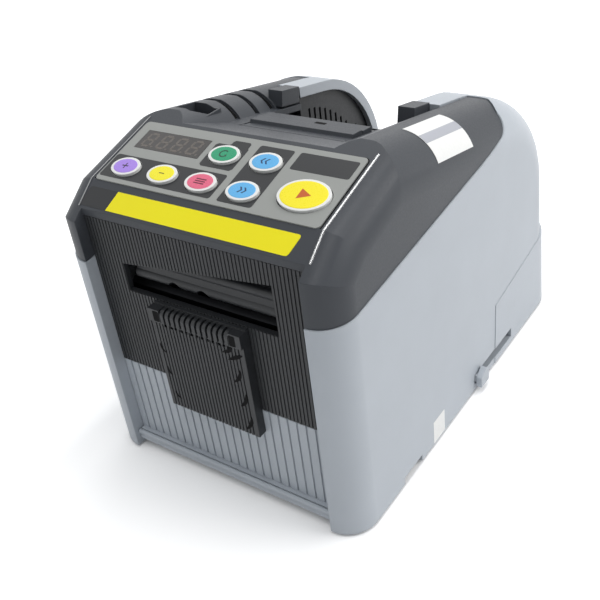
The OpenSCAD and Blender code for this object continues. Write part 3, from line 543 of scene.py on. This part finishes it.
DIGIT_W, DIGIT_H, DIGIT_T = 5.3, 8.7, 0.03
BAR_W, BAR_GAP, SLANT = 1.15, 0.12, 0.12
DIGITS, DIGIT_FIRST, DIGIT_PITCH = 4, -45.4, 8.1
DISPLAY_W = 26.8
POINT_R, POINT_OFF = 0.5, 0.75


def segment(p, q):
    """A six-cornered bar from one point to another."""
    p, q = Vector(p), Vector(q)
    along = (q - p).normalized()
    across = Vector((-along.y, along.x)) * (BAR_W / 2)
    tip = along * (BAR_W / 2)
    a, b = p + along * BAR_GAP, q - along * BAR_GAP
    corners = (a, a + tip + across, b - tip + across, b, b - tip - across, a + tip - across)
    return [tuple(corner) for corner in corners]


def digit(u0):
    """Seven bars and a point, leaning to the right."""
    half, rise = (DIGIT_W - BAR_W) / 2, (DIGIT_H - BAR_W) / 2

    def at(u, w):
        return (u0 + u + SLANT * w, DISPLAY_W + w)

    bars = [((-half, w), (half, w)) for w in (rise, 0, -rise)]
    bars += [((s * half, 0), (s * half, t * rise)) for s in (-1, 1) for t in (-1, 1)]
    point = oval(u0 + DIGIT_W / 2 + POINT_OFF, DISPLAY_W - rise, POINT_R, POINT_R, n=14)
    return [[segment(at(*p), at(*q))] for p, q in bars] + [[point]]


digits = [shape for k in range(DIGITS) for shape in digit(DIGIT_FIRST + k * DIGIT_PITCH)]
plate("display_digits", digits, 0.0, DIGIT_T, ON_SLOPE, SEGMENT, "housing")


# Keys: a white rim with a printed film on top, and a plain sign

# Height of the CAD keys over the slope
KEY_TOP = 0.9
RIM_BASE, FILM_BASE = KEY_TOP - 0.03, KEY_TOP + 0.09
SIGN_LOW, SIGN_HIGH = FILM_BASE + 0.14, FILM_BASE + 0.185
# Inset and height of the rings of a rim or film, from its foot to its top
FILM_PROFILE = ((0.0, 0.0), (0.0, 0.05), (0.05, 0.09), (0.16, 0.12), (0.34, 0.135), (1.6, 0.15), (2.9, 0.155))

PLUS_SIZE, PLUS_T = 3.2, 0.55
MINUS_SIZE, MINUS_T = 2.6, 0.5
LIST_SIZE, LIST_T, LIST_STEP = 5.0, 0.55, 1.15
LOOP_IN, LOOP_OUT, LOOP_START, LOOP_SWEEP = 1.45, 2.05, 50, 270
HEAD_IN, HEAD_MID, HEAD_OUT, HEAD_SWEEP = 1.0, 1.75, 2.5, 32
CHEVRON = ((-0.7, 1.5), (0.1, 1.5), (1.2, 0.0), (0.1, -1.5), (-0.7, -1.5), (0.4, 0.0))
CHEVRON_U = 1.0
START_SIGN = [(-2.0, -2.7), (3.2, 0.0), (-2.0, 2.7)]


def film(name, key, size, base, mat):
    """Oval rim or film with a soft rolled edge, on top of a key."""
    rings = []
    for inset, h in FILM_PROFILE:
        edge = oval(*KEYS[key].place, size[0] - inset, size[1] - inset)
        rings.append([(u, w, base + h) for u, w in edge])
    add(name, loft(rings), ON_SLOPE, mat, key, smooth=50)


def bar(w, length, thick):
    """Level bar, w above the middle."""
    half, rise = length / 2, thick / 2
    return [(-half, w - rise), (half, w - rise), (half, w + rise), (-half, w + rise)]


def cross(size, thick):
    s, h = size / 2, thick / 2
    return [(-s, -h), (-h, -h), (-h, -s), (h, -s), (h, -h), (s, -h),
            (s, h), (h, h), (h, s), (-h, s), (-h, h), (-s, h)]


def chevrons(way):
    """Pair of chevrons that point one way."""
    return [[(middle + way * u, w) for u, w in CHEVRON] for middle in (-CHEVRON_U, CHEVRON_U)]


def loop_arrow():
    """Ring with a gap and a broad arrowhead."""
    inner, outer = (arc(0, 0, r, LOOP_START, LOOP_SWEEP, n=22) for r in (LOOP_IN, LOOP_OUT))
    end = LOOP_START + LOOP_SWEEP
    head = [polar(HEAD_OUT, end), polar(HEAD_MID, end + HEAD_SWEEP), polar(HEAD_IN, end)]
    return outer + head + inner[::-1]


SIGNS = {
    "key_plus": [cross(PLUS_SIZE, PLUS_T)],
    "key_minus": [bar(0, MINUS_SIZE, MINUS_T)],
    "key_select": [bar(w, LIST_SIZE, LIST_T) for w in (LIST_STEP, 0, -LIST_STEP)],
    "key_auto": [loop_arrow()],
    "key_reverse": chevrons(-1),
    "key_forward": chevrons(1),
    "key_start": [START_SIGN],
}

for name, key in KEYS.items():
    film(name + "_rim", name, key.rim, RIM_BASE, RING)
    film(name + "_film", name, key.film, FILM_BASE, printed(name + "_print", key.colour, 0.3))
    sign = [[shifted(loop, *key.place)] for loop in SIGNS[name]]
    ink = printed(name + "_ink", key.ink, 0.4, tone=0.03)
    plate(name + "_sign", sign, SIGN_LOW, SIGN_HIGH, ON_SLOPE, ink, name)


# Bare strip on the front chamfer, with a dark left end

STRIP_LOW, STRIP_HIGH = -COVER_IN, -COVER_IN + 0.14
STRIP_W1, STRIP_W2 = 1.0, 9.8
STRIP_LEFT, STRIP_SPLIT, STRIP_RIGHT = -56.5, -41.0, 48.5
SPLIT_GAP, STRIP_LEAN = 0.03, 0.28
# Points of an eased corner, along the strip and across it
STRIP_CORNER = ((1.1, 0.0), (0.3, 0.3), (0.0, 1.1))


def strip_part(name, split, end, mat):
    """Strip from a straight split to an end with eased corners, both leaning as in the photograph."""
    way = math.copysign(1.0, end - split)
    lower = [(split, STRIP_W1)] + [(end - way * u, STRIP_W1 + w) for u, w in STRIP_CORNER]
    outline = lower + [(u, STRIP_W1 + STRIP_W2 - w) for u, w in lower[::-1]]
    middle = (STRIP_W1 + STRIP_W2) / 2
    leaning = [(u + STRIP_LEAN * (w - middle), w) for u, w in outline]
    plate(name, [[leaning]], STRIP_LOW, STRIP_HIGH, ON_CHAMFER, mat, "housing")


strip_part("strip_yellow_part", STRIP_SPLIT, STRIP_RIGHT, YELLOW_STRIP)
strip_part("strip_black_part", STRIP_SPLIT - SPLIT_GAP, STRIP_LEFT, PRINT)


# Strips bent over the ridges: labels, and painted shade on the groove floors

def along_ridge(d):
    """Way along a ridge from the crest to the place at d."""
    return (d - CREST_D) / math.cos(RIDGE_A)


def bent_strip(side, s1, s2, phi1, phi2, r1, r2, n):
    """Rings of a strip over a ridge between two radii, from angle phi1 to phi2 off the top."""
    corners = ((r1, s1), (r2, s1), (r2, s2), (r1, s2))
    rings = []
    for k in range(n + 1):
        phi = math.radians(phi1 + (phi2 - phi1) * k / n)
        across, up = math.sin(phi), math.cos(phi)
        rings.append([(side * (RIDGE_X + r * across), s, -RIDGE_R + r * up) for r, s in corners])
    return rings


LABEL_T = 0.1
LABEL_D, LABEL_PHI, LABEL_LIFT = (83.4, 114.8), (4.0, 65.0), 0.06
BAND_D, BAND_PHI, BAND_LIFT = (83.6, 114.6), (25.5, 38.5), 0.13
SIDE_LABEL, SIDE_LABEL_R = (65.6, 2.2, 76.4, 14.6), 0.3


def ridge_label(name, reach, phi, lift, mat):
    """Thin label wrapped over the right ridge, between two distances and two angles."""
    s1, s2 = (along_ridge(d) for d in reach)
    r = RIDGE_R - COVER_IN + lift
    rings = bent_strip(1, s1, s2, *phi, r, r + LABEL_T, n=18)
    add(name, loft(rings), ON_RIDGE, mat, "housing", smooth=40)


ridge_label("ridge_label", LABEL_D, LABEL_PHI, LABEL_LIFT, PAPER)
ridge_label("ridge_label_band", BAND_D, BAND_PHI, BAND_LIFT, SILVER)
plate("side_label", [[rounded(*SIDE_LABEL, SIDE_LABEL_R, n=3)]], 0.0, LABEL_T, sideways(SIDE_X), PAPER,
      "housing")


# Exit guide: crescent marks moulded near its edges and a recess at each end of its fingers, their dark
# painted on as shade

GUIDE_FACE, FINGER_FACE = 1.2, 0.0
BOLD_MARKS = (((17.9, 84.9), (16.4, 82.2), (12.8, 80.4)), ((22.6, 81.4), (19.3, 79.6), (15.2, 77.4)),
              ((20.0, 73.4), (18.9, 69.3), (16.0, 66.4)), ((20.7, 61.3), (19.9, 57.2), (17.0, 54.1)),
              ((21.3, 49.3), (20.6, 45.5), (17.6, 41.8)))
FAINT_MARKS = (((-22.7, 73.2), (-22.1, 70.5), (-20.3, 69.1)), ((-21.7, 61.2), (-21.1, 58.4), (-19.8, 57.3)),
               ((-20.6, 47.7), (-19.4, 45.6), (-17.7, 44.7)))
BOLD_W, FAINT_W, MARK_TIP = 1.7, 0.8, 0.25
MARK_LOW, MARK_HIGH = -0.05, 0.15
RECESS_X, RECESS_W, RECESS_Z, RECESS_R = (-21.4, 18.2), 3.2, (85.9, 91.0), 0.7
RECESS_LOW, RECESS_HIGH = -0.05, 0.05


def crescent(p, q, r, thick):
    """Tapered arc through three points of the guide's face."""
    n = 12
    left, right = [], []
    for k in range(n + 1):
        f = k / n
        a, b, c = (1 - f) * (1 - 2 * f), 4 * f * (1 - f), f * (2 * f - 1)
        da, db, dc = 4 * f - 3, 4 - 8 * f, 4 * f - 1
        x, y = (a * p[i] + b * q[i] + c * r[i] for i in (0, 1))
        dx, dy = (da * p[i] + db * q[i] + dc * r[i] for i in (0, 1))
        taper = MARK_TIP + (1 - MARK_TIP) * math.sin(math.pi * f)
        half = thick / 2 * taper / math.hypot(dx, dy)
        left.append((x - dy * half, y + dx * half))
        right.append((x + dy * half, y - dx * half))
    return left + right[::-1]


# Painted shade: near-black plates in the moulded crescent marks and in the recesses at the fingers' ends
mark_shades = [[crescent(*m, BOLD_W)] for m in BOLD_MARKS] + [[crescent(*m, FAINT_W)] for m in FAINT_MARKS]
plate("guide_mark_shade", mark_shades, MARK_LOW, MARK_HIGH, upright(GUIDE_FACE), PAINTED_SHADE, "housing")
recess_shades = [[rounded(x, RECESS_Z[0], x + RECESS_W, RECESS_Z[1], RECESS_R, n=4)] for x in RECESS_X]
plate("guide_end_recess_shade", recess_shades, RECESS_LOW, RECESS_HIGH, upright(FINGER_FACE), PAINTED_SHADE, "housing")


# Grooves across the ridges: distance and width of each, with a thin near-black floor of painted shade

GROOVES = ((87.5, 3.4), (101.8, 3.0), (113.5, 4.0))
GROOVE_R = RIDGE_R - 1.4
FLOOR_T, FLOOR_GAP = 0.2, 0.12
LEFT_PHI, RIGHT_PHI = (-49.0, 52.0), (-49.0, -33.0)


def groove_floor_shade(name, side, phi):
    """Painted shade on the floors of the grooves on one ridge, between two angles."""
    r1, r2 = GROOVE_R - FLOOR_T / 2, GROOVE_R + FLOOR_T / 2
    floor_shades = []
    for d, width in GROOVES:
        s, half = along_ridge(d), width / 2 - FLOOR_GAP
        floor_shades.append(bent_strip(side, s - half, s + half, *phi, r1, r2, n=26))
    add(name, loft(*floor_shades), ON_RIDGE, PAINTED_SHADE, "housing", smooth=40)


groove_floor_shade("left_groove_floor_shade", -1, LEFT_PHI)
groove_floor_shade("right_groove_floor_shade", 1, RIGHT_PHI)


# Crease along each side of the control slope and the chamfer, which catches the light

CREASE_U, CREASE_W, CREASE_FOOT = 56.7, 1.0, 0.3
# Lean of the outer face in degrees, and how much it turns from its inner to its outer edge
SLOPE_LEAN, CHAMFER_LEAN, LEAN_TURN = 20.9, 18.0, 8.0
SLOPE_CREASE = (0.1, SLOPE_LEN - 7.0)
CHAMFER_CREASE = (0.4, CHAMFER_LEN + 0.1)


def crease(name, place, side, reach, lean):
    """Low edge whose outer face leans by about the given angle."""
    n = 6
    foot = -COVER_IN - CREASE_FOOT
    h = -COVER_IN + CREASE_W * math.tan(math.radians(lean))
    section = [(CREASE_U, foot), (CREASE_U, h)]
    for k in range(n):
        h -= CREASE_W / n * math.tan(math.radians(lean + LEAN_TURN * ((k + 0.5) / n - 0.5)))
        section.append((CREASE_U + CREASE_W * (k + 1) / n, h))
    section.append((CREASE_U + CREASE_W, foot))
    rings = [[(side * u, w, z) for u, z in section] for w in reach]
    add(name, loft(rings), place, EDGE_GLOSS, "housing", smooth=30)


for side, label in ((-1, "left"), (1, "right")):
    crease(label + "_slope_crease", ON_SLOPE, side, SLOPE_CREASE, SLOPE_LEAN)
    crease(label + "_chamfer_crease", ON_CHAMFER, side, CHAMFER_CREASE, CHAMFER_LEAN)


# Side latch: a wedge-topped knob outside, its stem in the slot and a flange behind the shell

def prism(outline, x1, x2):
    """Rings of a prism from x1 to x2 with a (d, z) outline."""
    return [[(x, d, z) for d, z in outline] for x in (x1, x2)]


def box_outline(d1, d2, z1, z2):
    return [(d1, z1), (d2, z1), (d2, z2), (d1, z2)]


LATCH_D1, LATCH_D2 = 109.4, 118.4
FLANGE_X, STEM_X, KNOB_X = (65.3, 66.5), (66.4, 70.7), (70.65, 73.6)
FLANGE_Z, STEM_Z, STEM_GAP = (8.4, 11.9), (5.8, 10.0), 0.6
KNOB = [(LATCH_D1 + 0.2, 3.6), (LATCH_D2 - 0.4, 3.6), (LATCH_D2 - 0.2, 9.0), (LATCH_D1 + 5.2, 13.2),
        (LATCH_D1, 9.4)]
STEM = box_outline(LATCH_D1 + STEM_GAP, LATCH_D2 - STEM_GAP, *STEM_Z)
FLANGE = box_outline(LATCH_D1, LATCH_D2, *FLANGE_Z)
KNOB_ROUND = 0.35

latch_mesh = loft(prism(KNOB, *KNOB_X), prism(STEM, *STEM_X), prism(FLANGE, *FLANGE_X))
knob = add("latch_knob", latch_mesh, BY_FRONT, LIGHT, "latch")
round_edges(knob, KNOB_ROUND)
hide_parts("side_latch")

# Near-black plate behind the latch's slot, standing on the base plate: painted shade for the dark inside seen
# through the slot
SLOT_SHADE, SLOT_SHADE_R = (106.0, 8.02, 158.0, 14.0), 0.5
SLOT_SHADE_X, SLOT_SHADE_T = 64.3, 0.6
plate("latch_slot_shade", [[rounded(*SLOT_SHADE, SLOT_SHADE_R, n=3)]], 0.0, SLOT_SHADE_T, sideways(SLOT_SHADE_X), PAINTED_SHADE,
      "housing")


# Slit in the step of the lid, shown by a near-black plate of painted shade

LID_STEP_D, LID_STEP_Z, LID_STEP_A = 93.8, 137.62, math.radians(-5.53)
ON_LID_STEP = tilted(LID_STEP_D, LID_STEP_Z, LID_STEP_A)
SLIT, SLIT_R = (1.5, 0.15, 7.1, 2.6), 0.3
SLIT_LOW, SLIT_HIGH = -0.1, 0.05
plate("lid_slit_shade", [[rounded(*SLIT, SLIT_R, n=3)]], SLIT_LOW, SLIT_HIGH, ON_LID_STEP, PAINTED_SHADE, "lid")


# Camera at the photograph's place: its axes, and its eye in x, d and z

RIGHT = Vector((0.8204, 0.5605, -0.1129))
DOWN = Vector((0.23295, -0.508, -0.82924))
FORWARD = Vector((-0.52218, 0.65402, -0.54735))
EYE = Vector((206.98, -189.44, 276.23))
FOCAL_PX, IMAGE_PX, SENSOR = 847.43, 600.0, 36.0

camera_data = bpy.data.cameras.new("camera")
camera = bpy.data.objects.new("camera", camera_data)
scene.collection.objects.link(camera)
axes = Matrix((RIGHT.normalized(), (-DOWN).normalized(), (-FORWARD).normalized())).transposed().to_4x4()
camera.matrix_world = Matrix.Translation(Vector((EYE.x, EYE.y - BODY_L / 2, EYE.z)) * MM) @ axes
camera_data.sensor_width = SENSOR
camera_data.lens = FOCAL_PX / IMAGE_PX * SENSOR
camera_data.clip_start = 0.01
scene.camera = camera


# Floor and background, in metres

WHITE = (1.0, 1.0, 1.0, 1.0)
FLOOR_COLOUR, FLOOR_REACH = (0.9, 0.9, 0.905, 1.0), 6.0
# Glow of the floor up to the near distance, from where it grows to 1 at the far one
FLOOR_LIFT, NEAR, FAR = 0.45, 0.35, 1.2
# Reach of the contact shade, which dims that glow
SHADE_REACH = 0.065
AMBIENT_COLOUR, AMBIENT = (0.93, 0.97, 1.0, 1.0), 0.31


def seen(tree):
    """1 for the camera's rays and for mirrored and transmitted ones, 0 for those that gather light."""
    path = tree.nodes.new("ShaderNodeLightPath").outputs
    either = combined(tree, "MAXIMUM", path["Is Camera Ray"], path["Is Glossy Ray"])
    return combined(tree, "MAXIMUM", either, path["Is Transmission Ray"])


def floor_material():
    """Near-white floor that keeps the shadow and glows only where it is seen."""
    mat, tree, shader, coords = start_material("floor_white")
    cloud = noise(tree, coords, 3.0, 2.0, 0.5)
    stops = [(0.3, scaled(FLOOR_COLOUR, 0.985)), (0.7, FLOOR_COLOUR)]
    tree.links.new(ramp(tree, cloud, stops), shader.inputs["Base Color"])
    shader.inputs["Roughness"].default_value = 0.6
    shader.inputs["Specular IOR Level"].default_value = 0.1
    away = tree.nodes.new("ShaderNodeVectorMath")
    away.operation = "LENGTH"
    tree.links.new(coords, away.inputs[0])
    level = spread(tree, away.outputs["Value"], FLOOR_LIFT, 1.0, NEAR, FAR)
    shade = tree.nodes.new("ShaderNodeAmbientOcclusion")
    shade.samples = 8
    shade.inputs["Distance"].default_value = SHADE_REACH
    lift = combined(tree, "MULTIPLY", seen(tree), level)
    glow = combined(tree, "MULTIPLY", lift, shade.outputs["AO"])
    shader.inputs["Emission Color"].default_value = WHITE
    tree.links.new(glow, shader.inputs["Emission Strength"])
    return mat


def studio_world():
    """Soft light all round; what is seen of it is plain white."""
    world = bpy.data.worlds.new("studio")
    world.use_nodes = True
    tree = world.node_tree
    ambient = tree.nodes["Background"]
    ambient.inputs["Color"].default_value = AMBIENT_COLOUR
    ambient.inputs["Strength"].default_value = AMBIENT
    backdrop = tree.nodes.new("ShaderNodeBackground")
    backdrop.inputs["Color"].default_value = WHITE
    backdrop.inputs["Strength"].default_value = 1.0
    mix = tree.nodes.new("ShaderNodeMixShader")
    tree.links.new(seen(tree), mix.inputs["Fac"])
    tree.links.new(ambient.outputs[0], mix.inputs[1])
    tree.links.new(backdrop.outputs[0], mix.inputs[2])
    tree.links.new(mix.outputs[0], tree.nodes["World Output"].inputs["Surface"])
    return world


floor_mesh = bpy.data.meshes.new("floor")
corners = [(FLOOR_REACH * x, FLOOR_REACH * y, 0.0) for x, y in ((-1, -1), (1, -1), (1, 1), (-1, 1))]
floor_mesh.from_pydata(corners, [], [(0, 1, 2, 3)])
floor_mesh.materials.append(floor_material())
floor = bpy.data.objects.new("floor", floor_mesh)
scene.collection.objects.link(floor)
scene.world = studio_world()


# Lamps: place, target, width and length in metres, power in watts and colour

LAMPS = {
    "key_lamp": ((1.2, 0.65, 1.2), (0.0, 0.0, 0.07), (1.1, 1.1), 15.4, (1.0, 0.99, 0.98)),
    "fill_lamp": ((0.1, -1.6, 0.9), (0.0, 0.0, 0.07), (1.2, 1.2), 1.1, (0.97, 0.98, 1.0)),
    "back_lamp": ((-0.5, 1.3, 1.4), (0.0, 0.0, 0.08), (1.0, 1.0), 5.2, (1.0, 1.0, 1.0)),
    "strip_lamp": ((0.12, -0.15, 1.3), (0.12, -0.15, 0.14), (0.09, 1.3), 6.5, (1.0, 1.0, 1.0)),
}


def lamp(name, place, target, size, watts, colour):
    data = bpy.data.lights.new(name, "AREA")
    data.shape = "RECTANGLE"
    data.size, data.size_y = size
    data.energy = watts
    data.color = colour
    obj = bpy.data.objects.new(name, data)
    scene.collection.objects.link(obj)
    obj.location = place
    obj.rotation_euler = (Vector(target) - Vector(place)).to_track_quat("-Z", "Y").to_euler()


for name, given in LAMPS.items():
    lamp(name, *given)

scene.view_settings.view_transform = "Standard"
